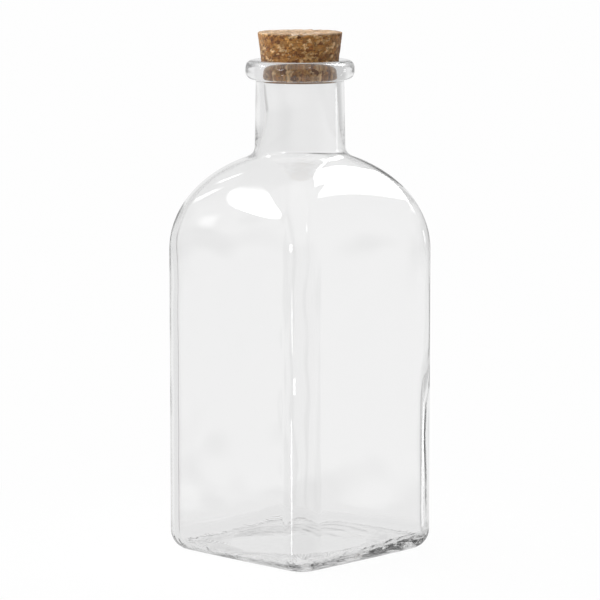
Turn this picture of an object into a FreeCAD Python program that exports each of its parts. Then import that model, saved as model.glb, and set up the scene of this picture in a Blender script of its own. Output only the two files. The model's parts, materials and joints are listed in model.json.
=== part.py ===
# Square glass bottle with a domed shoulder, a short round neck with a beaded lip, and a tapered cork.
# Two pieces: the blown glass and the stopper. Millimetres, +Z up, origin on the floor under the neck's axis,
# the four flat faces square to X and Y.
import FreeCAD
import Part
import math
import os

# Glass body
body_side = 70.0          # across two opposite faces, at their middle
corner_radius = 10.0      # upright corners, outside
face_bow = 0.3            # how far a face swells at its middle
glass_height = 170.0      # floor to the top of the lip
neck_height = 32.3        # from where the dome meets the neck to the top of the lip
shoulder_rise = 32.7      # from the upright walls to the neck
root_fillet = 3.5         # hollow curve between shoulder and neck, outside
heel_radius = 7.0         # rounding between the walls and the base

# Walls
body_wall = 2.8           # faces and corners
shoulder_wall = 1.0       # how much lower the dome ends inside than outside, at the neck
base_thickness = 4.5      # glass under the cavity
floor_radius = 6.0        # rounding between the walls and the floor, inside

# Underside
bearing_width = 4.0       # flat surface between the heel and the round hollow, at a face's middle
push_up_depth = 1.8       # of the hollow
push_up_blend = 12.0      # rounding of its edge, and of the foot of the hump that it makes inside

# Neck and lip
bore_diameter = 25.2      # straight bore of the neck
neck_wall = 2.5           # at the top of the neck
neck_flare = 0.55         # how much wider, on the radius, the neck is at its root
bead_reach = 3.55         # how far the lip's bead stands out from the neck
bead_height = 6.6
bead_cove = 0.8           # slope that fills the corner under the bead
mouth_diameter = 26.9     # of the tapered seat, at the lip
mouth_depth = 6.5         # of the tapered seat
rim_bevel = 1.1           # of the mouth's edge

# Cork
cork_proud = 9.6          # how far it stands above the lip
cork_gap = 0.08           # between the cork and its seat, on the radius
cork_edge = 0.5           # bevel of its top and bottom edges

# How the shoulder is made
dome_sections = 10
neck_side_angle = math.radians(12)    # half the angle that stands for a face on a round section
neck_overlap = 2.0                    # how far the dome and the neck run into each other before the fillet
fillet_limit = 0.9                    # largest share of an upright corner's radius that a rounding may take

shoulder_start = glass_height - neck_height - shoulder_rise
half_side = body_side / 2
face_half_length = half_side - corner_radius
body_side_angle = 2 * face_bow / face_half_length
face_reach = 1 - math.cos(body_side_angle) + math.sin(body_side_angle)
half_diagonal = corner_radius + face_half_length * math.sqrt(2) * math.sin(body_side_angle) / face_reach
hollow_radius = half_side - heel_radius - bearing_width
push_up_radius = (hollow_radius ** 2 + push_up_depth ** 2) / (2 * push_up_depth)
push_up_centre = push_up_depth - push_up_radius
hump_foot = math.sqrt((push_up_radius + base_thickness) ** 2 - (base_thickness - push_up_centre) ** 2)
bore_radius = bore_diameter / 2
mouth_radius = mouth_diameter / 2
neck_top_radius = bore_radius + neck_wall
neck_root_radius = neck_top_radius + neck_flare
seat_slope = (mouth_radius - bore_radius) / mouth_depth
seat_bottom = glass_height - mouth_depth


def arc(centre_x, centre_y, radius, start, end, turn, z):
    """Level arc about a centre between two bearings, then turned about the bottle's axis."""
    points = []
    for bearing in (start, (start + end) / 2, end):
        x = centre_x + radius * math.cos(bearing)
        y = centre_y + radius * math.sin(bearing)
        points.append(FreeCAD.Vector(x * math.cos(turn) - y * math.sin(turn),
                                     x * math.sin(turn) + y * math.cos(turn), z))
    return Part.Arc(*points).toShape()


def section(half_width, diagonal, angle, z):
    """Closed wire of eight tangent arcs at height z, four for the faces and four for the corners.
    half_width runs from the axis to a face's middle and diagonal to a corner's. A face's arc spans twice
    the angle."""
    spread = (diagonal - half_width) / ((math.sqrt(2) - 1) * math.sin(angle) - (1 - math.cos(angle)))
    corner = half_width - spread * (1 - math.cos(angle) + math.sin(angle))
    face = corner + spread
    corner_centre = spread * math.sin(angle)
    edges = []
    for quarter in range(4):
        turn = quarter * math.pi / 2
        edges.append(arc(half_width - face, 0, face, -angle, angle, turn, z))
        edges.append(arc(corner_centre, corner_centre, corner, angle, math.pi / 2 - angle, turn, z))
    return Part.Wire(edges)


def dome(inset, rise, neck_radius):
    """Solid loft from the top of the upright walls up into the neck. Over the faces and over the corners it
    follows two ellipses that leave the wall upright and reach the neck's radius at the top of the rise."""
    side, diagonal = half_side - inset, half_diagonal - inset
    face_height = rise / math.sqrt(1 - (neck_radius / side) ** 2)
    corner_height = rise / math.sqrt(1 - (neck_radius / diagonal) ** 2)
    heights = [rise * math.sin(math.pi / 2 * i / dome_sections) for i in range(dome_sections + 1)]
    heights.append(face_height * math.sqrt(1 - ((neck_radius - neck_overlap) / side) ** 2))
    wires = []
    for height in heights:
        width = side * math.sqrt(1 - (height / face_height) ** 2)
        corner_width = diagonal * math.sqrt(max(0, 1 - (height / corner_height) ** 2))
        rounding = min(1, (side - width) / (side - neck_radius))
        angle = body_side_angle + (neck_side_angle - body_side_angle) * rounding
        wires.append(section(width, max(width, corner_width), angle, shoulder_start + height))
    return Part.makeLoft(wires, True, False)


def upright(inset, floor, edge_radius):
    """Square prism with rounded corners from its floor to the shoulder, with its lower edge rounded."""
    outline = Part.Face(section(half_side - inset, half_diagonal - inset, body_side_angle, floor))
    prism = outline.extrude(FreeCAD.Vector(0, 0, shoulder_start - floor))
    lower = [edge for edge in prism.Edges if edge.BoundBox.ZMax < floor + edge_radius / 2]
    return prism.makeFillet(min(edge_radius, fillet_limit * (corner_radius - inset)), lower)


def revolved(steps):
    """Solid of revolution about Z. Each step is two (radius, height) points for a line, three for an arc."""
    edges = []
    for step in steps:
        points = [FreeCAD.Vector(radius, 0, height) for radius, height in step]
        curve = Part.Arc(*points) if len(points) == 3 else Part.LineSegment(*points)
        edges.append(curve.toShape())
    profile = Part.Face(Part.Wire(edges))
    return profile.revolve(FreeCAD.Vector(), FreeCAD.Vector(0, 0, 1), 360)


def rounded(solid, ring_radius, height, fillet, room=0.01):
    """The solid with a fillet along the ring of edges that lies at that radius and height, within room."""
    ring = []
    for edge in solid.Edges:
        if edge.Degenerated or edge.BoundBox.ZMin < height - room or edge.BoundBox.ZMax > height + room:
            continue
        if all(abs(math.hypot(vertex.X, vertex.Y) - ring_radius) < room for vertex in edge.Vertexes):
            ring.append(edge)
    return solid.makeFillet(fillet, ring)


def neck_outside(start):
    """Solid neck with its slight flare and the round bead of the lip."""
    bead_bottom = glass_height - bead_height
    bead_round = bead_height / 2
    bead_centre = neck_top_radius + bead_reach - bead_round
    cove_bottom = bead_bottom - bead_cove
    return revolved([
        ((0, start), (neck_root_radius, start)),
        ((neck_root_radius, start), (neck_top_radius, cove_bottom)),
        ((neck_top_radius, cove_bottom), (bead_centre, bead_bottom)),
        ((bead_centre, bead_bottom), (bead_centre + bead_round, bead_bottom + bead_round),
         (bead_centre, glass_height)),
        ((bead_centre, glass_height), (0, glass_height)),
        ((0, glass_height), (0, start)),
    ])


def neck_inside(start):
    """Straight bore, then the tapered seat for the cork, up to the bevel of the mouth's edge."""
    bevel_bottom = glass_height - rim_bevel
    bevel_radius = mouth_radius - seat_slope * rim_bevel
    return revolved([
        ((0, start), (bore_radius, start)),
        ((bore_radius, start), (bore_radius, seat_bottom)),
        ((bore_radius, seat_bottom), (bevel_radius, bevel_bottom)),
        ((bevel_radius, bevel_bottom), (mouth_radius + rim_bevel, glass_height)),
        ((mouth_radius + rim_bevel, glass_height), (0, glass_height)),
        ((0, glass_height), (0, start)),
    ])


def push_up_ball(extra):
    """Large ball whose top is the hollow under the base. extra raises it for the hump in the floor inside.
    Its poles lie level, so that no pole is in the hollow."""
    centre = FreeCAD.Vector(0, 0, push_up_centre)
    return Part.makeSphere(push_up_radius + extra, centre, FreeCAD.Vector(-1, 0, 0))


def glass_bottle():
    """Outer shape less the cavity. Shoulder and neck are joined and filleted first, outside and inside."""
    root = shoulder_start + shoulder_rise
    outside = dome(0, shoulder_rise, neck_root_radius).fuse(neck_outside(root - neck_overlap))
    outside = rounded(outside, neck_root_radius, root, root_fillet, neck_overlap / 2)
    outside = outside.fuse(upright(0, 0, heel_radius)).cut(push_up_ball(0))
    outside = rounded(outside, hollow_radius, 0, push_up_blend)

    inner_root = root - shoulder_wall
    cavity = dome(body_wall, shoulder_rise - shoulder_wall, bore_radius)
    cavity = cavity.fuse(neck_inside(inner_root - neck_overlap))
    cavity = rounded(cavity, bore_radius, inner_root, root_fillet + neck_wall, neck_overlap / 2)
    well = upright(body_wall, base_thickness, floor_radius).cut(push_up_ball(base_thickness))
    cavity = cavity.fuse(rounded(well, hump_foot, base_thickness, push_up_blend))
    print("brimful capacity, ml:", round(cavity.Volume / 1000, 1))
    return outside.cut(cavity)


def cork_stopper():
    """Tapered cork that reaches down to the end of its seat, with the seat's own slope and bevelled edges."""
    bottom_radius = bore_radius - cork_gap
    cork_top = glass_height + cork_proud
    top_radius = bottom_radius + seat_slope * (cork_top - seat_bottom)
    lower = (bottom_radius + seat_slope * cork_edge, seat_bottom + cork_edge)
    upper = (top_radius - seat_slope * cork_edge, cork_top - cork_edge)
    return revolved([
        ((0, seat_bottom), (bottom_radius - cork_edge, seat_bottom)),
        ((bottom_radius - cork_edge, seat_bottom), lower),
        (lower, upper),
        (upper, (top_radius - cork_edge, cork_top)),
        ((top_radius - cork_edge, cork_top), (0, cork_top)),
        ((0, cork_top), (0, seat_bottom)),
    ])


os.makedirs("parts", exist_ok=True)
for name, make in (("glass_bottle", glass_bottle), ("cork_stopper", cork_stopper)):
    shape = make()
    print(name, "valid:", shape.isValid(), "solids:", len(shape.Solids), "faces:", len(shape.Faces),
          "volume:", round(shape.Volume))
    shape.exportStep("parts/" + name + ".step")
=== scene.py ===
# Square clear glass bottle with an agglomerated cork: the looks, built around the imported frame.
import json
import math
import bpy
import numpy as np
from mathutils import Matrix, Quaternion, Vector

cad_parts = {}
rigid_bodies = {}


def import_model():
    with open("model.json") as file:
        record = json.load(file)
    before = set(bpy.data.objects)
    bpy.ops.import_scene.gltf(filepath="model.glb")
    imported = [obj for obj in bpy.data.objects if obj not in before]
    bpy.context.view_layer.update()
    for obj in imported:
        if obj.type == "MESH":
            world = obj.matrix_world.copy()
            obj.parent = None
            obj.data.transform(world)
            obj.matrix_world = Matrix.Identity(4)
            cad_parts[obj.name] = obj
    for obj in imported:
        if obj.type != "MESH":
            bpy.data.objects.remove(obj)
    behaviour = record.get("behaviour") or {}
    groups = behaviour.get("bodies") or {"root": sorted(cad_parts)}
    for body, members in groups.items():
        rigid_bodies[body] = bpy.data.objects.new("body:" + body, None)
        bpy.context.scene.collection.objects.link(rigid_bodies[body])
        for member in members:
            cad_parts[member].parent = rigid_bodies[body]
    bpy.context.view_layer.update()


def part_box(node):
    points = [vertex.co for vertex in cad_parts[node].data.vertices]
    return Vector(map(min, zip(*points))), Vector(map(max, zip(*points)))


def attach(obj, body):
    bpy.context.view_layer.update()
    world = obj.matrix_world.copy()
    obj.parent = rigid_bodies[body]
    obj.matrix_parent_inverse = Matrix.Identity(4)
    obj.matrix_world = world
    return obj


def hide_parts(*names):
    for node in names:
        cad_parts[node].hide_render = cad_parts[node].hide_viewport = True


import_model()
mm = 0.001
glassLow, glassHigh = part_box("glass_bottle")
corkLow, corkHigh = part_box("cork_stopper")


# shared helpers

smooth = {"interpolation_type": "SMOOTHSTEP"}
multiply = {"operation": "MULTIPLY"}


def linearColour(code):
    # sRGB hex code to linear red, green, blue and an alpha of 1
    parts = [int(code[i:i + 2], 16) / 255 for i in (1, 3, 5)]
    return tuple(c / 12.92 if c <= 0.04045 else ((c + 0.055) / 1.055) ** 2.4 for c in parts) + (1.0,)


def addNode(tree, kind, settings=None, **inputs):
    # settings are the node's own values; an input is a number, a colour or another node's output
    node = tree.nodes.new(kind)
    for key, value in (settings or {}).items():
        setattr(node, key, value)
    for key, value in inputs.items():
        byNumber = key[0] == "i" and key[1:].isdigit()
        socket = node.inputs[int(key[1:]) if byNumber else key.replace("_", " ")]
        if isinstance(value, bpy.types.NodeSocket):
            tree.links.new(value, socket)
        else:
            socket.default_value = value
    return node


def span(ends, low=0.0, high=1.0):
    # inputs that map the stretch between two ends to low and high
    return {"From_Min": ends[0], "From_Max": ends[1], "To_Min": low, "To_Max": high}


def newMaterial(name):
    material = bpy.data.materials.new(name)
    material.use_nodes = True
    material.node_tree.nodes.clear()
    return material, material.node_tree


def fade(value, start, end):
    # smooth step: 0 before start, 1 after end
    share = np.clip((value - start) / (end - start), 0, 1)
    return share * share * (3 - 2 * share)


def ripple(points, size, seed, waves=28):
    # smooth random field of about +-1: a sum of cosine waves about as long as size, in random directions
    rng = np.random.default_rng(seed)
    ways = rng.normal(size=(3, waves))
    ways /= np.linalg.norm(ways, axis=0)
    lengths = size * rng.uniform(0.7, 1.5, waves)
    turns = rng.uniform(0, 2 * np.pi, waves)
    flat = points.reshape(-1, 3) @ (ways * 2 * np.pi / lengths) + turns
    return (np.cos(flat).sum(1) * math.sqrt(2 / waves) / 2).reshape(points.shape[:-1])


def gridNormals(grid):
    # unit normals of a grid of points that closes around its second axis
    along = np.gradient(grid, axis=0)
    around = np.roll(grid, -1, axis=1) - np.roll(grid, 1, axis=1)
    normal = np.cross(around, along)
    return normal / np.maximum(np.linalg.norm(normal, axis=2, keepdims=True), 1e-12)


def closedMesh(name, rings, start, end):
    # Skin over a list of closed rings of points, from one pole to the other. Where a ring has a whole number
    # of times as many points as its neighbour, the faces between them take the extra points on their edge.
    points = [np.array([start])] + rings + [np.array([end])]
    first = np.cumsum([0] + [len(ring) for ring in points])
    faces = []
    for k in range(len(rings) - 1):
        low, high = len(rings[k]), len(rings[k + 1])
        a, b = first[k + 1], first[k + 2]
        coarse = np.arange(min(low, high))
        after = np.roll(coarse, -1)
        if low == high:
            faces += np.stack([a + coarse, a + after, b + after, b + coarse], 1).tolist()
            continue
        times = max(low, high) // min(low, high)
        steps = (coarse[:, None] * times + np.arange(times + 1)) % max(low, high)
        if low > high:
            faces += np.hstack([a + steps, (b + after)[:, None], (b + coarse)[:, None]]).tolist()
        else:
            faces += np.hstack([(a + coarse)[:, None], (a + after)[:, None], b + steps[:, ::-1]]).tolist()
    count = len(rings[0])
    faces += [[0, int(first[1] + (i + 1) % count), int(first[1] + i)] for i in range(count)]
    count, last = len(rings[-1]), int(first[-2])
    faces += [[last, int(first[-3] + i), int(first[-3] + (i + 1) % count)] for i in range(count)]
    mesh = bpy.data.meshes.new(name)
    mesh.from_pydata(np.vstack(points) * mm, [], faces)
    mesh.polygons.foreach_set("use_smooth", np.ones(len(mesh.polygons), bool))
    mesh.update()
    piece = bpy.data.objects.new(name, mesh)
    bpy.context.scene.collection.objects.link(piece)
    return piece


def triangleCount(piece):
    return sum(len(face.vertices) - 2 for face in piece.data.polygons)


# glass bottle, in millimetres; a field is the length of its waves and its seed

bottle = {
    "side": (glassHigh.x - glassLow.x) / mm,  # across two opposite faces
    "height": glassHigh.z / mm,  # to the top of the lip
    "cornerRadius": 10.0,
    "faceBow": 0.3,  # swell of a face at its middle
    "neckHeight": 32.3,  # from the shoulder to the top of the lip
    "shoulderRise": 32.7,
    "rootFillet": 3.5,
    "neckSideAngle": math.radians(12),  # half the angle that stands for a face on the round neck
    "neckRadius": 15.1,  # under the lip
    "neckFlare": 0.55,  # wider at the root
    "neckOverlap": 2.0,
    "heelRadius": 7.0,
    "colour": "#FDFDFD",
    "shadowColour": "#F2F4F3",  # of the light that shadows of the glass let through
    "ior": 1.52,  # of soda-lime glass
    # underside
    "bearingWidth": 4.0,
    "hollowDepth": 1.8,  # push-up under the base
    "hollowEdge": 0.12,  # softness of its edge
    "knurlDepth": 0.34,  # ridges of the ring that the bottle stands on
    "knurlPitch": 1.5,
    "knurlFields": [(6, 21), (2.2, 22)],  # wandering of the ridges, coarse and fine
    "knurlWander": [2.2, 0.9],  # in radians of their wave
    "knurlStrength": (0.6, 0.4),  # of the ridges, on average, and how far it varies
    "knurlStrengthField": (4, 23),
    "knurlPeak": 1.5,  # more is narrower ridges
    "knurlRows": [0, 4, 7, 12, 14, 17],  # rings from the hollow's edge to the heel
    "knurlShares": [0, 0.2, 1, 1, 0.8, 0],  # and the ridges' height there
    "heelRows": (12, 17),  # rings over which the ridges turn from upward to inward
    # lip
    "beadHeight": 6.6,
    "beadReach": 3.55,
    "beadSquare": 2.7,  # 2 is a round bead, more is flatter at its front
    "cove": 0.8,  # height of the hollow curve under the bead
    "coveInset": 0.5,  # reach of that curve into the bead
    "rimRadius": 1.1,
    "mouthRadius": 13.45,
    "boreRadius": 12.6,
    "seatDepth": 6.5,
    "seatGap": 1.0,  # between the seat's foot and the next ring of the bore
    # wall thickness by height: over the shoulder the glass is stretched thin
    "wallHeights": [0, 12, 40, 80, 92, 100, 108, 114, 121, 130, 137, 140, 144, 148, 153, 163.4],
    "walls": [2.9, 2.7, 2.6, 2.6, 2.55, 2.4, 2.0, 1.55, 1.1, 0.95, 0.95, 1.1, 1.8, 2.4, 2.7, 2.55],
    # how the upright corner that stands right of the neck in the main view departs from that
    "unevenBearing": math.radians(45),
    "unevenSpread": math.radians(24),
    "unevenHeights": [0, 8, 25, 42, 52, 62, 72, 84, 100, 110, 125],
    "unevenExtra": [0.0, 0.2, 0.5, 1.0, 0.6, -0.6, -1.5, -1.4, -1.0, -0.9, 0.0],
    "wave": 0.05,  # unevenness of the outside
    "waveField": (26, 11),
    "innerWave": 0.16,  # and of the inside
    "innerWaveField": (20, 5),
    "wavesStart": (4, 16),  # heights between which both set in
    "wavesEnd": (148, 158),  # and end
    "boreStart": (142, 160),  # heights between which the inside turns into the round bore
    "rootShift": 0.35,  # of the inside to +X and +Y at the neck's root
    "shiftStart": (130, 140),
    "shiftEnd": (150, 162),
    # floor
    "baseThickness": 4.5,
    "floorRadius": 2.0,  # between walls and floor, inside, at the corner +X -Y
    "farFloorRadius": 7.0,  # and at the opposite corner
    "floorDrop": 0.5,  # how much thinner the base is, in its middle
    "floorTilt": 0.038,  # fall of the floor towards the corner -X -Y
    "humpShare": 0.80,  # of the push-up, in the floor over it
    "floorWave": 0.12,
    "floorWaveField": (16, 3),
    "footRipple": 0.16,  # print of the knurled ring in the floor's edge
    "footRippleFields": [(1.6, 61), (3.5, 62)],
    "nearBand": (-0.2, 0.4),  # shares of the side over which its edge radius changes
    "humpReach": 3.0,  # of the hump past the push-up
    # fineness of the mesh
    "facePoints": 40,  # points along a face and round a corner
    "cornerPoints": 34,
    "fineTimes": 4,  # points on the knurled ring for each point elsewhere
    "hollowRings": [4, 9, 14, 18, 21],  # radii of the rings under the push-up
    "edgeRings": [22.6, 23.3, 23.8, 24.3, 25.0],  # and round its edge
    "flatRings": 8,
    "fineHeelTurns": [8, 16, 24, 32, 40],  # degrees up the heel, knurled
    "heelTurns": [46, 52, 58, 64, 70, 76, 82, 87],
    "wallRings": 30,
    "domeRings": 43,
    "neckRings": 11,
    "coveTurns": [25, 50, 72],  # degrees round the hollow curve
    "beadTurns": (-72, 90),  # first and last of the bead
    "beadRings": 20,
    "rimTurns": [90, 110, 130, 150, 170, 180],
    "seatShares": [0.3, 0.6, 1.0],  # of the seat's depth
    "footTurns": [12, 24, 36, 48, 60, 70, 80],  # degrees down into the floor
    "floorShares": [0.95, 0.88, 0.78, 0.65, 0.5, 0.35, 0.2, 0.08],  # of its edge
}


def bottleMeasures():
    # what follows from the driving sizes
    b = bottle
    half = b["side"] / 2
    faceHalf = half - b["cornerRadius"]
    angle = 2 * b["faceBow"] / faceHalf
    reach = 1 - math.cos(angle) + math.sin(angle)
    hollow = half - b["heelRadius"] - b["bearingWidth"]
    return {
        "half": half,
        "angle": angle,  # half the angle that a face's arc spans
        "diagonal": b["cornerRadius"] + faceHalf * math.sqrt(2) * math.sin(angle) / reach,
        "shoulder": b["height"] - b["neckHeight"] - b["shoulderRise"],
        "hollow": hollow,  # radius of the push-up
        "ball": (hollow ** 2 + b["hollowDepth"] ** 2) / (2 * b["hollowDepth"]),
        "beadBottom": b["height"] - b["beadHeight"],
        "seatBottom": b["height"] - b["seatDepth"],
        "seatSlope": (b["mouthRadius"] - b["boreRadius"]) / b["seatDepth"],
    }


def sectionPoints(halfWidth, diagonal, angle, times=1):
    # Eight tangent arcs in turn, four for the faces and four for the corners, for each row of half widths.
    # The result is x, y and the bearing of the outward normal.
    facePoints, cornerPoints = bottle["facePoints"] * times, bottle["cornerPoints"] * times
    halfWidth, diagonal, angle = (np.asarray(a, float).reshape(-1, 1) for a in (halfWidth, diagonal, angle))
    spread = (diagonal - halfWidth) / ((math.sqrt(2) - 1) * np.sin(angle) - (1 - np.cos(angle)))
    corner = halfWidth - spread * (1 - np.cos(angle) + np.sin(angle))
    face = corner + spread
    faceShare = np.arange(facePoints) / facePoints
    cornerShare = np.arange(cornerPoints) / cornerPoints
    faceBearing = -angle + 2 * angle * faceShare
    cornerBearing = angle + (np.pi / 2 - 2 * angle) * cornerShare
    x = np.hstack([halfWidth - face + face * np.cos(faceBearing),
                   spread * np.sin(angle) + corner * np.cos(cornerBearing)])
    y = np.hstack([face * np.sin(faceBearing), spread * np.sin(angle) + corner * np.sin(cornerBearing)])
    bearing = np.hstack([faceBearing, cornerBearing])
    quarters = [(x, y), (-y, x), (-x, -y), (y, -x)]
    bearings = np.hstack([bearing + k * np.pi / 2 for k in range(4)])
    return np.hstack([q[0] for q in quarters]), np.hstack([q[1] for q in quarters]), bearings


def sectionRings(halfWidths, diagonals, angles, heights, times=1):
    # grid of rings, one for each height, and the bearings of its points' outward normals
    x, y, bearing = sectionPoints(halfWidths, diagonals, angles, times)
    z = np.broadcast_to(np.asarray(heights, float).reshape(-1, 1), x.shape)
    return np.stack([x, y, z], 2), bearing


def roundRings(radii, heights):
    # grid of round rings
    return sectionRings(radii, radii, np.full(len(radii), bottle["neckSideAngle"]), heights)[0]


def domeOutline(straight, rise, neckRadius, fillet):
    # Half width over the height above the upright walls: part of an ellipse, then a hollow arc that ends
    # upright on the neck. The arc's place is found by halving.
    semiHeight = rise / math.sqrt(1 - (neckRadius / straight) ** 2)

    def arcCentre(turn):
        steep = math.hypot(semiHeight * math.cos(turn), straight * math.sin(turn))
        return (straight * math.cos(turn) + fillet * semiHeight * math.cos(turn) / steep,
                semiHeight * math.sin(turn) + fillet * straight * math.sin(turn) / steep)

    low, high = 0.0, math.pi / 2
    for _ in range(60):
        middle = (low + high) / 2
        if arcCentre(middle)[0] > neckRadius + fillet:
            low = middle
        else:
            high = middle
    centreX, centreZ = arcCentre(low)
    arcStart = semiHeight * math.sin(low)

    def outline(height):
        ellipse = straight * np.sqrt(np.clip(1 - (height / semiHeight) ** 2, 0, 1))
        arc = centreX - np.sqrt(np.clip(fillet ** 2 - (centreZ - height) ** 2, 0, None))
        return np.where(height <= arcStart, ellipse, np.where(height < centreZ, arc, neckRadius))

    return outline, centreZ


def hollowHeight(radius, ball):
    # height of the push-up under the base: soft maximum of the ball's surface and the plane that it stands on
    height = bottle["hollowDepth"] - ball + np.sqrt(ball ** 2 - radius ** 2)
    return bottle["hollowEdge"] * np.logaddexp(0, height / bottle["hollowEdge"])


def undersideRings(m):
    # round rings, then the knurled ring that it stands on, which turns square, then the heel
    b = bottle
    radii = np.array(b["hollowRings"])
    rings = list(roundRings(radii, hollowHeight(radii, m["ball"])))
    radii = np.array(b["edgeRings"])
    share = np.linspace(0, 1, b["flatRings"] + 1)[1:]
    heel = np.radians(b["fineHeelTurns"])
    inset = b["heelRadius"] * (1 - np.sin(heel))
    flatHalf = radii[-1] + (m["half"] - b["heelRadius"] - radii[-1]) * share
    flatDiagonal = radii[-1] + (m["diagonal"] - b["heelRadius"] - radii[-1]) * share
    flatAngle = b["neckSideAngle"] + (m["angle"] - b["neckSideAngle"]) * share
    halfWidths = np.concatenate([radii, flatHalf, m["half"] - inset])
    diagonals = np.concatenate([radii, flatDiagonal, m["diagonal"] - inset])
    angles = np.concatenate([np.full(len(radii), b["neckSideAngle"]), flatAngle,
                             np.full(len(heel), m["angle"])])
    heights = np.concatenate([hollowHeight(radii, m["ball"]), np.zeros(b["flatRings"]),
                              b["heelRadius"] * (1 - np.cos(heel))])
    grid, bearing = sectionRings(halfWidths, diagonals, angles, heights, b["fineTimes"])
    rings += list(grid + knurling(grid, bearing))
    heel = np.radians(b["heelTurns"])
    inset = b["heelRadius"] * (1 - np.sin(heel))
    grid, _ = sectionRings(m["half"] - inset, m["diagonal"] - inset, np.full(len(heel), m["angle"]),
                           b["heelRadius"] * (1 - np.cos(heel)))
    return rings + list(grid)


def knurling(grid, bearing):
    # Short irregular ridges across the ring that the bottle stands on: a wave along the ring whose phase
    # wanders, raised from the ground between its crests. They fade out into the hollow and up the heel.
    b = bottle
    row = np.arange(len(grid))
    step = np.linalg.norm(np.roll(grid, -1, axis=1) - grid, axis=2)
    along = np.cumsum(step, axis=1) - step
    along = along / along[:, -1:] * round(along[b["heelRows"][0], -1] / b["knurlPitch"])
    phase = 2 * np.pi * along
    for wander, field in zip(b["knurlWander"], b["knurlFields"]):
        phase = phase + wander * ripple(grid, *field)
    ridge = (0.5 - 0.5 * np.cos(phase)) ** b["knurlPeak"]
    average, swing = b["knurlStrength"]
    strength = np.clip(average + swing * ripple(grid, *b["knurlStrengthField"]), 0, None)
    place = np.interp(row, b["knurlRows"], b["knurlShares"])
    depth = b["knurlDepth"] * ridge * strength * place[:, None]
    heel = fade(row, *b["heelRows"])[:, None]
    inward = np.stack([-np.cos(bearing), -np.sin(bearing), np.zeros_like(bearing)], 2)
    upward = np.array([0, 0, 1.0])
    return depth[..., None] * (inward * heel[..., None] + upward * (1 - 0.4 * heel[..., None]))


def outsideGrid(m):
    # Rings from the heel up to the lip's foot, with their bearings and heights. The half widths over the
    # faces and over the corners follow two domes, less the neck's taper.
    b = bottle
    neckRoot = b["neckRadius"] + b["neckFlare"]
    overFace, faceEnd = domeOutline(m["half"], b["shoulderRise"], neckRoot, b["rootFillet"])
    overCorner, cornerEnd = domeOutline(m["diagonal"], b["shoulderRise"], neckRoot, b["rootFillet"])
    arcTop = max(faceEnd, cornerEnd)
    climb = np.sin(np.linspace(0, np.pi / 2, b["domeRings"] + 1)[1:])
    neckHeights = np.linspace(m["shoulder"] + arcTop, m["beadBottom"] - b["cove"], b["neckRings"] + 1)[1:]
    heights = np.concatenate([np.linspace(b["heelRadius"], m["shoulder"], b["wallRings"]),
                              m["shoulder"] + arcTop * climb, neckHeights])
    above = np.clip(heights - m["shoulder"], 0, None)
    flareFrom = m["shoulder"] + b["shoulderRise"] - b["neckOverlap"]
    flare = b["neckFlare"] * np.clip((heights - flareFrom) / (m["beadBottom"] - flareFrom), 0, 1)
    halfWidths = overFace(above) - flare
    diagonals = np.maximum(overCorner(above) - flare, halfWidths)
    rounding = np.clip((m["half"] - halfWidths) / (m["half"] - neckRoot), 0, 1)
    angles = m["angle"] + (b["neckSideAngle"] - m["angle"]) * rounding
    outside, bearing = sectionRings(halfWidths, diagonals, angles, heights)
    return outside, bearing, heights


def lipRings(m):
    # hollow curve under the bead, the bead, the rounded rim and the cork's tapered seat down to its foot
    b = bottle
    beadRound = b["beadHeight"] / 2
    beadCentre = b["neckRadius"] + b["beadReach"] - beadRound
    coveReach = beadCentre + b["coveInset"] - b["neckRadius"]
    rimFoot = b["height"] - b["rimRadius"]
    rimCentre = b["mouthRadius"] - m["seatSlope"] * b["rimRadius"] + b["rimRadius"]
    rows = []
    for turn in np.radians(b["coveTurns"]):
        rows.append((b["neckRadius"] + coveReach * (1 - math.cos(turn)),
                     m["beadBottom"] - b["cove"] + b["cove"] * math.sin(turn)))
    power = 2 / b["beadSquare"]
    for turn in np.radians(np.linspace(*b["beadTurns"], b["beadRings"])):
        out, up = math.cos(turn), math.sin(turn)
        rows.append((beadCentre + beadRound * abs(out) ** power,
                     m["beadBottom"] + beadRound * (1 + math.copysign(abs(up) ** power, up))))
    for turn in np.radians(b["rimTurns"]):
        rows.append((rimCentre + b["rimRadius"] * math.cos(turn), rimFoot + b["rimRadius"] * math.sin(turn)))
    for share in b["seatShares"]:
        height = rimFoot + (m["seatBottom"] - rimFoot) * share
        rows.append((b["mouthRadius"] - m["seatSlope"] * (b["height"] - height), height))
    radii, heights = np.array(rows).T
    return list(roundRings(radii, heights))


def wallThickness(height, bearing):
    # thickness at a height and bearing, from the stations, with the uneven corner added
    b = bottle
    wall = np.interp(height, b["wallHeights"], b["walls"])
    extra = np.interp(height, b["unevenHeights"], b["unevenExtra"])
    away = (bearing - b["unevenBearing"] + np.pi) % (2 * np.pi) - np.pi
    return wall + extra * np.exp(-(away / b["unevenSpread"]) ** 2)


def insideGrid(m, outside, normal, bearing, heights, calm):
    # rings of the inside, from its foot up to the seat: the outside less the wall, which turns into the bore
    b = bottle
    wall = wallThickness(heights[:, None], bearing)
    wall = wall + b["innerWave"] * ripple(outside, *b["innerWaveField"]) * calm
    inside = outside - normal * wall[..., None]
    bore = fade(heights, *b["boreStart"])[:, None, None]
    shift = (fade(heights, *b["shiftStart"]) * (1 - fade(heights, *b["shiftEnd"])))[:, None, None]
    inside = inside * (1 - bore) + roundRings(np.full(len(heights), b["boreRadius"]), heights) * bore
    inside = inside + np.array([b["rootShift"], b["rootShift"], 0]) * shift
    keep = (heights < m["seatBottom"] - b["seatGap"]) & (heights > b["baseThickness"] + b["floorRadius"])
    return inside[keep], bearing[keep]


def floorHeight(ring):
    # a plane that falls towards the corner at -X and -Y
    fall = (ring[:, 0] + ring[:, 1]) / math.sqrt(2) * bottle["floorTilt"]
    return bottle["baseThickness"] - bottle["floorDrop"] + fall


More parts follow.
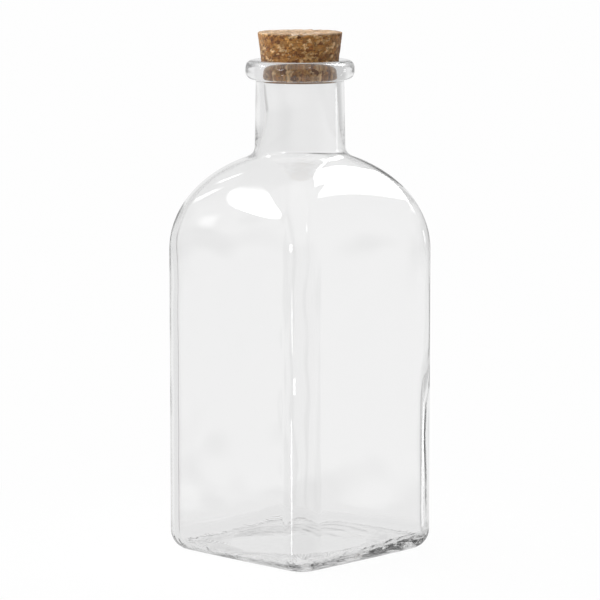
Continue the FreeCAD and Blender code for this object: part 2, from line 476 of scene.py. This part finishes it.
def floorRings(m, foot, bearing):
    # a hollow curve from the foot of the walls into the floor, which has a low hump over the push-up
    b = bottle
    outward = np.stack([np.cos(bearing), np.sin(bearing), 0 * bearing], 1)
    near = fade((foot[:, 0] - foot[:, 1]) / b["side"], *b["nearBand"])
    footRadius = b["farFloorRadius"] + (b["floorRadius"] - b["farFloorRadius"]) * near
    rings = []
    for turn in np.radians(b["footTurns"]):
        ring = foot - outward * footRadius[:, None] * (1 - math.cos(turn))
        bumps = sum(ripple(ring, *field) for field in b["footRippleFields"])
        ring[:, 2] = foot[:, 2] - (foot[:, 2] - floorHeight(ring)) * math.sin(turn)
        ring[:, 2] += b["footRipple"] * bumps * fade(turn, 0, 0.5)
        rings.append(ring)
    edge = rings[-1]
    for share in b["floorShares"]:
        ring = edge * share
        radius = np.minimum(np.hypot(ring[:, 0], ring[:, 1]), m["hollow"] + b["humpReach"])
        ring[:, 2] = floorHeight(ring) + hollowHeight(radius, m["ball"]) * b["humpShare"]
        ring[:, 2] += b["floorWave"] * ripple(ring, *b["floorWaveField"]) * fade(share, 0, 0.3)
        rings.append(ring)
    return rings


def makeBottle():
    # closed surface from the middle of the underside out, up the outside, over the lip, down the inside and
    # in to the middle of the floor
    b = bottle
    m = bottleMeasures()
    outside, bearing, heights = outsideGrid(m)
    normal = gridNormals(outside)
    calm = (fade(heights, *b["wavesStart"]) * (1 - fade(heights, *b["wavesEnd"])))[:, None]
    sag = b["wave"] * (1 + ripple(outside, *b["waveField"])) / 2 * calm
    inside, insideBearing = insideGrid(m, outside, normal, bearing, heights, calm)
    rings = undersideRings(m) + list(outside - normal * sag[..., None]) + lipRings(m) + list(inside[::-1])
    rings += floorRings(m, inside[0], insideBearing[0])
    floorMiddle = b["baseThickness"] - b["floorDrop"] + b["hollowDepth"] * b["humpShare"]
    piece = closedMesh("glassBody", rings, (0, 0, b["hollowDepth"]), (0, 0, floorMiddle))
    piece.data.materials.append(makeGlass())
    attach(piece, "bottle")
    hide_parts("glass_bottle")
    print("glass body: triangles", triangleCount(piece))


def makeGlass():
    # Soda-lime glass, blown in a polished mould: colourless, clear and glossy on both sides.
    # Shadow rays mostly pass, so that the lamps reach the cork and the floor through it.
    material, tree = newMaterial("sodaLimeGlass")
    glass = addNode(tree, "ShaderNodeBsdfPrincipled", None, Base_Color=linearColour(bottle["colour"]),
                    Roughness=0.0, IOR=bottle["ior"], Transmission_Weight=1.0)
    through = addNode(tree, "ShaderNodeBsdfTransparent", None, Color=linearColour(bottle["shadowColour"]))
    path = addNode(tree, "ShaderNodeLightPath")
    mixed = addNode(tree, "ShaderNodeMixShader", None, i0=path.outputs["Is Shadow Ray"],
                    i1=glass.outputs[0], i2=through.outputs[0])
    addNode(tree, "ShaderNodeOutputMaterial", None, Surface=mixed.outputs[0])
    return material


# cork, in millimetres

cork = {
    "bottom": corkLow.z / mm,
    "top": corkHigh.z / mm - 0.04,
    "bottomRadius": 12.52,
    "topRadius": (corkHigh.x - corkLow.x) / 2 / mm,
    "edge": 0.5,
    "points": 440,  # around
    "edgeTurns": [22, 45, 67],  # degrees round the edges
    "middleRadius": 0.8,  # of the innermost ring at both ends
    "middleDip": 0.1,  # of the very middle
    "sideRings": 100,
    "topRings": 60,
    "bottomRings": 26,
    "seed": 17,
    "granules": 5600,  # pieces of ground cork pressed together
    "shell": 2.2,  # depth within which there are granules
    "flat": 1.5,  # how much wider than high they lie
    "blur": 0.34,  # unevenness of their outlines
    "blurWaves": (1.0, 0.45),  # coarse, and fine at half the strength
    "blurSeeds": (31, 32, 33),
    "granuleDrop": 0.12,  # how far they lie back from the cut surface
    "seam": 0.10,  # depth of the gaps between them
    "seamWidth": 0.12,
    "fine": 0.05,  # depth of the finest unevenness
    "fineField": (0.5, 41),
    "chipShare": 0.34,  # of the granules at the upper edge that are broken out
    "chipReach": 1.1,  # from that edge
    "chipDrop": 0.7,
    "leastChip": 0.4,  # share of that which the shallowest has
    "palette": ["#AC7434", "#9C672C", "#BA8747", "#8B5623", "#A9773D", "#CC9F67", "#7A4A1E", "#B27839",
                "#DFB784"],
    "topGlareColour": "#D9BA96",  # painted glare: the top face made paler, as low light glances off it
    "topGlareShare": 0.55,  # how much of it covers the granules' own
    "topGlareTones": (0.75, 0.5),  # its level, and what the granules' own adds
    "topGlareWander": 0.3,  # unevenness of where it ends
    "topGlareField": (0.8, 51),
    "topGlareBand": (0.75, 0.35),  # below the top, where it sets in
    "pressedShade": 0.80,  # painted shade on the part that sits inside the lip, where less light reaches
    "seatShadeBand": (0.3, 1.3),  # below the top of the lip, where that painted shade sets in
    "tones": (0.85, 1.15),  # range of the granules' brightness
    "seamShade": 0.35,  # how much darker the gaps are
    "seamShadeWidth": 0.14,
    "grain": 1.3,  # size of the fine grain
    "grainBand": (0.32, 0.68),  # of its noise, from dark to pale
    "grainShade": (0.55, 1.5),
    "pore": 0.9,  # and of the pores
    "poreBand": (0.30, 0.38),
    "poreShade": (0.35, 1.0),
    "relief": 0.15,  # depth of both in the bump
    "roughness": 0.85,
    "sheen": 0.22,
}


def makeCork():
    # Tapered cylinder whose points are moved inwards: each belongs to the nearest of many seeds, a granule,
    # with its own depth, and the gap between the nearest and the second nearest is a seam.
    c = cork
    rng = np.random.default_rng(c["seed"])
    bearing = np.arange(c["points"]) / c["points"] * 2 * np.pi
    radius, height = np.array(corkOutline()).T
    grid = np.stack([radius[:, None] * np.cos(bearing), radius[:, None] * np.sin(bearing),
                     np.broadcast_to(height[:, None], (len(radius), len(bearing)))], 2)
    seeds = granuleSeeds(rng)
    points = grid.reshape(-1, 3)
    coarse, close = c["blurWaves"]
    blur = [ripple(points, coarse, seed) + 0.5 * ripple(points, close, seed + 10) for seed in c["blurSeeds"]]
    squash = np.array([1, 1, c["flat"]])
    nearest, first, second = nearestSeeds((points + c["blur"] * np.stack(blur, 1)) * squash, seeds * squash)
    drop = rng.uniform(0, 1, len(seeds)) ** 2 * c["granuleDrop"]
    rimDistance = np.hypot(c["topRadius"] - np.hypot(seeds[:, 0], seeds[:, 1]), c["top"] - seeds[:, 2])
    chipped = (rng.uniform(0, 1, len(seeds)) < c["chipShare"]) & (rimDistance < c["chipReach"])
    drop = drop + chipped * rng.uniform(c["leastChip"], 1, len(seeds)) * c["chipDrop"]
    seam = c["seam"] * np.exp(-((second - first) / c["seamWidth"]) ** 2)
    fine = c["fine"] * (1 + ripple(points, *c["fineField"]))
    depth = (drop[nearest] + seam + fine).reshape(grid.shape[:2])
    moved = grid - gridNormals(grid) * depth[..., None]
    piece = closedMesh("corkStopper", list(moved), (0, 0, c["bottom"] + c["middleDip"]),
                       (0, 0, c["top"] - c["middleDip"]))
    # painted glare over the top face, with an uneven lower edge
    glareStart, glareEnd = c["topGlareBand"]
    wander = c["topGlareWander"] * ripple(points, *c["topGlareField"])
    topGlare = fade(points[:, 2] + wander, c["top"] - glareStart, c["top"] - glareEnd)
    # painted shade on the part that sits inside the lip
    seatShadeStart, seatShadeEnd = c["seatShadeBand"]
    pressed = fade(-points[:, 2], seatShadeStart - bottle["height"], seatShadeEnd - bottle["height"])
    paintCork(piece, nearest, second - first, topGlare, pressed, len(seeds), rng)
    piece.data.materials.append(makeCorkMaterial())
    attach(piece, "stopper")
    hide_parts("cork_stopper")
    print("cork: triangles", triangleCount(piece))


def granuleSeeds(rng):
    # random points in the shell below the side and both ends
    c = cork
    spread = rng.uniform(0, 1, (3 * c["granules"], 3))
    radius = c["topRadius"] * np.sqrt(spread[:, 0])
    height = c["bottom"] + (c["top"] - c["bottom"]) * spread[:, 2]
    nearSide = radius > c["bottomRadius"] - c["shell"]
    nearEnd = (height > c["top"] - c["shell"]) | (height < c["bottom"] + c["shell"])
    turn = 2 * np.pi * spread[:, 1]
    seeds = np.stack([radius * np.cos(turn), radius * np.sin(turn), height], 1)
    return seeds[nearSide | nearEnd][:c["granules"]]


def corkOutline():
    # radius and height from the middle of the lower face out, up the side and in to the middle of the top
    c = cork
    slope = (c["topRadius"] - c["bottomRadius"]) / (c["top"] - c["bottom"])
    low = np.linspace(c["middleRadius"], c["bottomRadius"] - c["edge"], c["bottomRings"])
    high = np.linspace(c["topRadius"] - c["edge"], c["middleRadius"], c["topRings"])
    rows = [(r, c["bottom"]) for r in low]
    for turn in np.radians(c["edgeTurns"]):
        rows.append((c["bottomRadius"] - c["edge"] * (1 - math.sin(turn)),
                     c["bottom"] + c["edge"] * (1 - math.cos(turn))))
    for height in np.linspace(c["bottom"] + c["edge"], c["top"] - c["edge"], c["sideRings"]):
        rows.append((c["bottomRadius"] + slope * (height - c["bottom"]), height))
    for turn in np.radians(c["edgeTurns"]):
        rows.append((c["topRadius"] - c["edge"] * (1 - math.cos(turn)),
                     c["top"] - c["edge"] * (1 - math.sin(turn))))
    return rows + [(r, c["top"]) for r in high]


def nearestSeeds(points, seeds, batch=4000):
    # index of the nearest seed, and the distances to the nearest and the second nearest
    seeds = seeds.astype(np.float32)
    middle = seeds.mean(0)
    seeds = seeds - middle
    found = []
    for start in range(0, len(points), batch):
        part = points[start:start + batch].astype(np.float32) - middle
        square = (part ** 2).sum(1)[:, None] - 2 * part @ seeds.T + (seeds ** 2).sum(1)
        two = np.argpartition(square, 1, axis=1)[:, :2]
        distance = np.sqrt(np.maximum(np.take_along_axis(square, two, 1), 0))
        swap = distance[:, 0] > distance[:, 1]
        near = np.where(swap, two[:, 1], two[:, 0])
        found.append(np.stack([near, distance.min(1), distance.max(1)], 1))
    found = np.vstack(found)
    return found[:, 0].astype(int), found[:, 1], found[:, 2]


def paintCork(piece, nearest, gap, topGlare, pressed, count, rng):
    # colour of each point: its granule's own from the palette, darker in the seams, with painted shade where
    # it sits inside the lip and a painted glare that makes the top paler
    c = cork
    colours = np.array([linearColour(code) for code in c["palette"]])[:, :3]
    picked = colours[rng.integers(0, len(colours), count)] * rng.uniform(*c["tones"], (count, 1))
    shade = 1 - c["seamShade"] * np.exp(-(gap / c["seamShadeWidth"]) ** 2)
    # painted shade where the cork sits inside the lip
    shade = shade * (1 - (1 - c["pressedShade"]) * pressed)
    painted = picked[nearest] * shade[:, None]
    # painted glare: the top turns paler
    level, own = c["topGlareTones"]
    pale = np.array(linearColour(c["topGlareColour"])[:3]) * (level + own * painted / painted.mean(0))
    share = c["topGlareShare"] * topGlare[:, None]
    values = np.ones((len(nearest) + 2, 4))
    values[1:-1, :3] = painted * (1 - share) + pale * share
    values[0], values[-1] = values[1], values[-2]
    attribute = piece.data.color_attributes.new("granule", "FLOAT_COLOR", "POINT")
    attribute.data.foreach_set("color", values.astype(np.float32).ravel())


def makeCorkMaterial():
    # Agglomerated cork, ground and pressed with a binder, then turned: matte, with a fine grain that lies
    # level and dark pores. Its dust gives it a pale sheen at a low angle.
    c = cork
    material, tree = newMaterial("agglomeratedCork")
    granule = addNode(tree, "ShaderNodeAttribute", {"attribute_name": "granule"})
    place = addNode(tree, "ShaderNodeTexCoord")
    level = addNode(tree, "ShaderNodeVectorMath", multiply, i0=place.outputs["Object"], i1=(1.0, 1.0, 2.0))
    grain = addNode(tree, "ShaderNodeTexNoise", None, Vector=level.outputs[0], Scale=1 / (c["grain"] * mm),
                    Detail=6.0, Roughness=0.72)
    shade = addNode(tree, "ShaderNodeMapRange", None, Value=grain.outputs[0],
                    **span(c["grainBand"], *c["grainShade"]))
    pore = addNode(tree, "ShaderNodeTexNoise", None, Vector=level.outputs[0], Scale=1 / (c["pore"] * mm),
                   Detail=2.0)
    pit = addNode(tree, "ShaderNodeMapRange", None, Value=pore.outputs[0],
                  **span(c["poreBand"], *c["poreShade"]))
    both = addNode(tree, "ShaderNodeMath", multiply, i0=shade.outputs[0], i1=pit.outputs[0])
    colour = addNode(tree, "ShaderNodeVectorMath", {"operation": "SCALE"}, i0=granule.outputs["Color"],
                     Scale=both.outputs[0])
    bump = addNode(tree, "ShaderNodeBump", None, Strength=0.6, Distance=c["relief"] * mm,
                   Height=both.outputs[0])
    surface = addNode(tree, "ShaderNodeBsdfPrincipled", None, Base_Color=colour.outputs[0],
                      Roughness=c["roughness"], Sheen_Weight=c["sheen"], Sheen_Roughness=0.5,
                      Normal=bump.outputs[0])
    addNode(tree, "ShaderNodeOutputMaterial", None, Surface=surface.outputs[0])
    return material


# studio, in metres

studio = {
    "azimuth": math.radians(44),  # the camera looks at an upright corner
    "distance": 1.155,  # level, from the neck's axis
    "height": 0.250,
    "pitch": math.radians(8.024),  # looking down
    "lens": 203.08,
    "sensor": 36.0,
    "clip": (0.05, 20),
    "bounces": 48,  # many, because light is guided a long way in the walls
    "glossyBounces": 36,
    "clearBounces": 24,
    "aimHeight": 0.1,  # of the point that the lamps face
    "backdrop": 0.99,
    # the backdrop through the glass, as shares; bands are of a ray's Z, and rounds of the cosine of four
    # times its angle from a corner's direction
    "plainShade": 0.95,  # through the body
    "highShade": 0.90,  # and the neck
    "neckBand": (-0.08, -0.13),  # from the neck's to the body's
    "lowShade": 0.92,  # behind the base
    "lowBand": (-0.190, -0.215),
    "sideShade": 0.45,  # about 30 degrees off the directions of the upright corners
    "neckSideShade": 0.88,  # and the same at the height of the neck
    "sideRound": (-0.4, 0.2),
    "faceRound": (-0.97, -0.75),  # straight behind a face that darkening ends again
    "cornerShade": 0.94,  # 3 to 4 degrees off, through the rounded front corner
    "cornerRound": (0.93, 0.985),
    # what the outer surface mirrors; a facing is 1 away from the camera, 0 at its sides and -1 towards it
    "roomSide": 0.90,  # at the sides of the room, above and below
    "roomFront": 0.08,  # on the camera's side
    "roomBack": 0.80,  # and on the far side
    "frontFacing": (-0.95, -0.2),
    "frontBand": (0.25, 0.5),  # Z up and down where the dark of the camera's side ends
    "backFacing": (0.0, 0.7),
    # the same for light that was turned back inside the glass
    "innerFront": 0.60,
    "innerBack": 0.77,
    "innerFacing": (-0.9, 0.3),
    "innerFar": 1.17,  # share of that straight behind the bottle
    "farFacing": (0.80, 0.95),
    "innerRight": 0.74,  # on the right
    "rightFacing": (0.1, 0.7),
    "innerUp": 0.90,  # and upwards
    "upBand": (0.05, 0.45),
    # light on matte surfaces
    "fill": 0.72,  # from all round
    "fillLeft": 0.90,  # more from the left
    "fillUp": 0.25,  # and from above
    # floor
    "floorHalf": 3.0,  # half its side
    "floorGlow": 0.95,  # share of the floor's white that shadows don't reach
    "shadowReach": 0.16,  # radius within which the floor takes shadows
    "shadowCore": 0.3,  # share of it within which it takes them fully
    "litColour": "#404040",  # what the light near the object adds to the glow
    "paperColour": "#D8D8D8",  # as matte surfaces meet it
    "footShadowGlow": 0.83,  # painted shadow: the grey glow of the paper under the bottle, as the glass shows it
    "contactShadowGlow": 0.76,  # and a darker painted contact shadow where it touches, as light turned back in the glass meets it
    "footRadius": (0.040, 0.062),  # where that painted shadow fades out
}


def towards(azimuth, elevation):
    # unit vector from the object towards a place beside the camera: azimuth turns from the camera's to the
    # right
    a = studio["azimuth"] + math.radians(azimuth)
    e = math.radians(elevation)
    return np.array([math.sin(a) * math.cos(e), -math.cos(a) * math.cos(e), math.sin(e)])


softboxes = [
    # name, azimuth from the camera, elevation, distance, width, height, turn in its own plane, radiance
    ("leftWindow", -100.0, 37.3, 1.0, 0.47, 0.165, -41, 6.5),
    ("leftWindowLow", -93.4, 18, 1.0, 0.055, 0.24, 22, 2.6),
    ("leftSlit", -110.2, 34, 1.0, 0.26, 0.024, -48, 4.0),
    ("leftSlitHigh", -127.3, 41.5, 1.0, 0.20, 0.022, -31, 5.0),
    ("rightWindow", 125.3, 40.2, 1.0, 0.53, 0.38, 9, 6.5),
    ("rightWindowHigh", 136, 52.5, 1.0, 0.40, 0.17, 40, 6.5),
    ("rightWindowCorner", 128, 55, 1.0, 0.26, 0.20, 12, 6.5),
    ("rightSlit", 110, 26.5, 1.0, 0.30, 0.05, 43, 4.0),
    ("leftSpot", -42, 14, 1.0, 0.24, 0.17, 0, 7.0),
    ("frontSpark", 24, 42, 1.0, 0.08, 0.14, 0, 5.0),
    ("leftStripHigh", -37, -8.65, 1.1, 0.10, 0.043, 0, 6.0),
    ("leftStripMiddle", -28, -11.05, 1.1, 0.14, 0.0134, 0, 8.0),
    ("leftStripLow", -39, -14.7, 1.1, 0.10, 0.104, 0, 6.0),
    ("rightStrip", 108, 2.4, 1.1, 0.18, 0.24, 0, 3.0),
    ("rightStripLow", 100, -13.6, 1.1, 0.12, 0.115, 0, 5.0),
]
roundSoftboxes = ("leftWindow", "leftSpot")

# share of a softbox's width or height over which it fades out to its left, right, bottom and top
softEdges = {
    "leftWindow": (0.5, 0.04, 0.15, 0.06),
    "leftWindowLow": (0.4, 0.4, 0.4, 0.4),
    "leftSlit": (0.3, 0.3, 0.3, 0.3),
    "leftSlitHigh": (0.3, 0.3, 0.3, 0.3),
    "rightWindow": (0.08, 0.05, 0.15, 0.04),
    "rightWindowHigh": (0.08, 0.08, 0.10, 0.10),
    "rightWindowCorner": (0.1, 0.1, 0.1, 0.1),
    "rightSlit": (0.2, 0.2, 0.3, 0.3),
    "leftStripHigh": (0.1, 0.1, 0.1, 0.5),
    "rightStrip": (0.1, 0.1, 0.3, 0.1),
    "rightStripLow": (0.1, 0.1, 0.1, 0.4),
}


def softenLamp(lamp, edges):
    # fades a lamp towards its edges by its own planar coordinates, which run from 0 to 1
    left, right, bottom, top = edges
    lamp.use_nodes = True
    tree = lamp.node_tree
    tree.nodes.clear()
    place = addNode(tree, "ShaderNodeNewGeometry").outputs["Parametric"]
    axes = addNode(tree, "ShaderNodeSeparateXYZ", None, Vector=place).outputs
    level = 1.0
    for axis, ends in (("X", (0, left)), ("X", (1, 1 - right)), ("Y", (0, bottom)), ("Y", (1, 1 - top))):
        side = addNode(tree, "ShaderNodeMapRange", smooth, Value=axes[axis], **span(ends))
        level = addNode(tree, "ShaderNodeMath", multiply, i0=side.outputs[0], i1=level).outputs[0]
    glow = addNode(tree, "ShaderNodeEmission", None, Color=(1, 1, 1, 1), Strength=level)
    addNode(tree, "ShaderNodeOutputLight", None, Surface=glow.outputs[0])


def makeLamps():
    # Area lamps that face the bottle, mirrored in its outer surface only. Matte surfaces are lit by the
    # windows on the left. Energy in watts is radiance times pi times the area.
    for name, azimuth, elevation, distance, width, height, turn, radiance in softboxes:
        lamp = bpy.data.lights.new(name, "AREA")
        lamp.shape = "ELLIPSE" if name in roundSoftboxes else "RECTANGLE"
        lamp.size, lamp.size_y = width, height
        lamp.energy = radiance * math.pi * width * height
        if name in softEdges:
            softenLamp(lamp, softEdges[name])
        box = bpy.data.objects.new(name, lamp)
        way = Vector(towards(azimuth, elevation))
        box.location = Vector((0, 0, studio["aimHeight"])) + way * distance
        facing = way.to_track_quat("Z", "Y") @ Quaternion((0, 0, 1), math.radians(turn))
        box.rotation_euler = facing.to_euler()
        box.visible_transmission = False
        box.visible_diffuse = name.startswith("leftWindow")
        bpy.context.scene.collection.objects.link(box)
    print("lamps:", len(softboxes))


def backdropThroughGlass(tree, axes):
    # white, a little darker at the height of the neck, behind the base and off each corner's direction
    s = studio
    height = axes["Z"]
    shade = addNode(tree, "ShaderNodeMapRange", None, Value=height,
                    **span(s["neckBand"], s["highShade"], s["plainShade"]))
    low = addNode(tree, "ShaderNodeMapRange", None, Value=height, **span(s["lowBand"], 1.0, s["lowShade"]))
    bearing = addNode(tree, "ShaderNodeMath", {"operation": "ARCTAN2"}, i0=axes["X"], i1=axes["Y"])
    quarters = addNode(tree, "ShaderNodeMath", {"operation": "MULTIPLY_ADD"}, i0=bearing.outputs[0], i1=4.0,
                       i2=4 * s["azimuth"])
    wave = addNode(tree, "ShaderNodeMath", {"operation": "COSINE"}, i0=quarters.outputs[0]).outputs[0]
    sideShade = addNode(tree, "ShaderNodeMapRange", None, Value=height,
                        **span(s["neckBand"], s["neckSideShade"], s["sideShade"]))
    offCorner = addNode(tree, "ShaderNodeMapRange", smooth, Value=wave,
                        **span(s["sideRound"], sideShade.outputs[0], 1.0))
    offFace = addNode(tree, "ShaderNodeMapRange", smooth, Value=wave, **span(s["faceRound"], 1.0, 0.0))
    side = addNode(tree, "ShaderNodeMath", {"operation": "MAXIMUM"}, i0=offCorner.outputs[0],
                   i1=offFace.outputs[0])
    corner = addNode(tree, "ShaderNodeMapRange", smooth, Value=wave,
                     **span(s["cornerRound"], s["cornerShade"], 1.0))
    for part in (side, corner, low):
        shade = addNode(tree, "ShaderNodeMath", multiply, i0=shade.outputs[0], i1=part.outputs[0])
    return shade.outputs[0]


def mirroredRoom(tree, axes, facing):
    # grey room, dark on the camera's side at eye level
    s = studio
    dark = addNode(tree, "ShaderNodeMapRange", smooth, Value=facing,
                   **span(s["frontFacing"], s["roomFront"] - s["roomSide"], 0.0))
    upright = addNode(tree, "ShaderNodeMath", {"operation": "ABSOLUTE"}, i0=axes["Z"])
    level = addNode(tree, "ShaderNodeMapRange", smooth, Value=upright.outputs[0],
                    **span(s["frontBand"], 1.0, 0.0))
    dark = addNode(tree, "ShaderNodeMath", multiply, i0=dark.outputs[0], i1=level.outputs[0])
    rest = addNode(tree, "ShaderNodeMapRange", smooth, Value=facing,
                   **span(s["backFacing"], s["roomSide"], s["roomBack"]))
    room = addNode(tree, "ShaderNodeMath", {"operation": "ADD"}, i0=dark.outputs[0], i1=rest.outputs[0])
    return room.outputs[0]


def innerRoom(tree, way, axes, facing):
    # the room as light meets it that was turned back inside the glass
    s = studio
    rightward = addNode(tree, "ShaderNodeVectorMath", {"operation": "DOT_PRODUCT"}, i0=way,
                        i1=tuple(towards(90, 0)))
    room = addNode(tree, "ShaderNodeMapRange", smooth, Value=facing,
                   **span(s["innerFacing"], s["innerFront"], s["innerBack"]))
    far = addNode(tree, "ShaderNodeMapRange", smooth, Value=facing,
                  **span(s["farFacing"], 1.0, s["innerFar"]))
    right = addNode(tree, "ShaderNodeMapRange", smooth, Value=rightward.outputs["Value"],
                    **span(s["rightFacing"], 1.0, s["innerRight"]))
    up = addNode(tree, "ShaderNodeMapRange", smooth, Value=axes["Z"], **span(s["upBand"], 1.0, s["innerUp"]))
    for part in (far, right, up):
        room = addNode(tree, "ShaderNodeMath", multiply, i0=room.outputs[0], i1=part.outputs[0])
    return room.outputs[0]


def makeWorld():
    # White backdrop for what the camera sees past the object. Rays that went straight through the glass see
    # it a little darker, rays that a surface turned back see a grey room, and matte surfaces are lit evenly,
    # a little more from the left and from above.
    s = studio
    world = bpy.data.worlds.new("studioRoom")
    world.use_nodes = True
    tree = world.node_tree
    tree.nodes.clear()
    path = addNode(tree, "ShaderNodeLightPath").outputs
    way = addNode(tree, "ShaderNodeTexCoord").outputs["Generated"]
    axes = addNode(tree, "ShaderNodeSeparateXYZ", None, Vector=way).outputs
    facing = addNode(tree, "ShaderNodeVectorMath", {"operation": "DOT_PRODUCT"}, i0=way,
                     i1=tuple(-towards(0, 0))).outputs["Value"]
    through = backdropThroughGlass(tree, axes)
    entered = addNode(tree, "ShaderNodeMath", {"operation": "GREATER_THAN"}, i0=path["Transmission Depth"],
                      i1=0.5)
    room = addNode(tree, "ShaderNodeMix", None, i0=entered.outputs[0], i2=mirroredRoom(tree, axes, facing),
                   i3=innerRoom(tree, way, axes, facing))
    brighter = towards(-90, 0) * s["fillLeft"] + np.array([0, 0, s["fillUp"]])
    lean = addNode(tree, "ShaderNodeVectorMath", {"operation": "DOT_PRODUCT"}, i0=way, i1=tuple(brighter))
    fill = addNode(tree, "ShaderNodeMath", {"operation": "ADD"}, i0=lean.outputs["Value"], i1=s["fill"])
    sharp = addNode(tree, "ShaderNodeMath", {"operation": "MAXIMUM"}, i0=path["Is Glossy Ray"],
                    i1=path["Is Transmission Ray"])
    unturned = addNode(tree, "ShaderNodeMath", {"operation": "LESS_THAN"}, i0=path["Glossy Depth"], i1=0.5)
    straight = addNode(tree, "ShaderNodeMath", multiply, i0=path["Is Transmission Ray"],
                       i1=unturned.outputs[0])
    level = addNode(tree, "ShaderNodeMix", None, i0=sharp.outputs[0], i2=fill.outputs[0], i3=room.outputs[0])
    level = addNode(tree, "ShaderNodeMix", None, i0=straight.outputs[0], i2=level.outputs[0], i3=through)
    level = addNode(tree, "ShaderNodeMix", None, i0=path["Is Camera Ray"], i2=level.outputs[0],
                    i3=s["backdrop"])
    light = addNode(tree, "ShaderNodeBackground", None, Color=(1, 1, 1, 1), Strength=level.outputs[0])
    addNode(tree, "ShaderNodeOutputWorld", None, Surface=light.outputs[0])
    bpy.context.scene.world = world
    print("studio room ready")


def makeFloor():
    # White paper: near the object part of its white is lit, so that it takes a shadow, and further out it is
    # as white as the backdrop. The glass shows the backdrop in its place, apart from a painted shadow under
    # the bottle: a grey glow on the paper there, darker where light turned back in the glass meets it.
    s = studio
    half = s["floorHalf"]
    mesh = bpy.data.meshes.new("studioFloor")
    mesh.from_pydata([(-half, -half, 0), (half, -half, 0), (half, half, 0), (-half, half, 0)], [],
                     [(0, 1, 2, 3)])
    floor = bpy.data.objects.new("studioFloor", mesh)
    bpy.context.scene.collection.objects.link(floor)
    material, tree = newMaterial("whitePaperFloor")
    place = addNode(tree, "ShaderNodeTexCoord")
    away = addNode(tree, "ShaderNodeVectorMath", {"operation": "LENGTH"}, i0=place.outputs["Object"])
    away = away.outputs["Value"]
    path = addNode(tree, "ShaderNodeLightPath").outputs

    # for the camera
    reach = s["shadowReach"]
    far = addNode(tree, "ShaderNodeMapRange", smooth, Value=away, **span((s["shadowCore"] * reach, reach)))
    glow = addNode(tree, "ShaderNodeEmission", None, Color=(1, 1, 1, 1), Strength=s["floorGlow"])
    paper = addNode(tree, "ShaderNodeBsdfDiffuse", None, Color=linearColour(s["litColour"]))
    near = addNode(tree, "ShaderNodeAddShader", None, i0=glow.outputs[0], i1=paper.outputs[0])
    white = addNode(tree, "ShaderNodeEmission", None, Color=(1, 1, 1, 1), Strength=s["backdrop"])
    seen = addNode(tree, "ShaderNodeMixShader", None, i0=far.outputs[0], i1=near.outputs[0],
                   i2=white.outputs[0])

    # through the glass and in its mirrors: a painted shadow under the bottle, elsewhere the backdrop
    turned = addNode(tree, "ShaderNodeMath", {"operation": "GREATER_THAN"}, i0=path["Glossy Depth"], i1=0.5)
    shadowGlow = addNode(tree, "ShaderNodeMix", None, i0=turned.outputs[0], i2=s["footShadowGlow"],
                      i3=s["contactShadowGlow"])
    shade = addNode(tree, "ShaderNodeEmission", None, Color=(1, 1, 1, 1), Strength=shadowGlow.outputs[0])
    clear = addNode(tree, "ShaderNodeBsdfTransparent")
    outside = addNode(tree, "ShaderNodeMapRange", smooth, Value=away, **span(s["footRadius"]))
    mirrored = addNode(tree, "ShaderNodeMixShader", None, i0=outside.outputs[0], i1=shade.outputs[0],
                       i2=clear.outputs[0])

    # for matte surfaces
    pale = addNode(tree, "ShaderNodeBsdfDiffuse", None, Color=linearColour(s["paperColour"]))

    sharp = addNode(tree, "ShaderNodeMath", {"operation": "MAXIMUM"}, i0=path["Is Glossy Ray"],
                    i1=path["Is Transmission Ray"])
    mixed = addNode(tree, "ShaderNodeMixShader", None, i0=sharp.outputs[0], i1=pale.outputs[0],
                    i2=mirrored.outputs[0])
    mixed = addNode(tree, "ShaderNodeMixShader", None, i0=path["Is Camera Ray"], i1=mixed.outputs[0],
                    i2=seen.outputs[0])
    addNode(tree, "ShaderNodeOutputMaterial", None, Surface=mixed.outputs[0])
    mesh.materials.append(material)
    print("floor ready")


def makeCamera():
    s = studio
    camera = bpy.data.cameras.new("camera")
    camera.lens, camera.sensor_width = s["lens"], s["sensor"]
    camera.clip_start, camera.clip_end = s["clip"]
    view = bpy.data.objects.new("camera", camera)
    view.location = (s["distance"] * math.sin(s["azimuth"]), -s["distance"] * math.cos(s["azimuth"]),
                     s["height"])
    view.rotation_euler = (math.pi / 2 - s["pitch"], 0, s["azimuth"])
    bpy.context.scene.collection.objects.link(view)
    bpy.context.scene.camera = view
    print("camera ready")


def setLooks():
    scene = bpy.context.scene
    scene.view_settings.view_transform = "Standard"
    scene.cycles.max_bounces = studio["bounces"]
    scene.cycles.transmission_bounces = studio["bounces"]
    scene.cycles.glossy_bounces = studio["glossyBounces"]
    scene.cycles.transparent_max_bounces = studio["clearBounces"]
    scene.cycles.caustics_reflective = False
    scene.cycles.caustics_refractive = True


makeBottle()
makeCork()
makeFloor()
makeLamps()
makeWorld()
makeCamera()
setLooks()
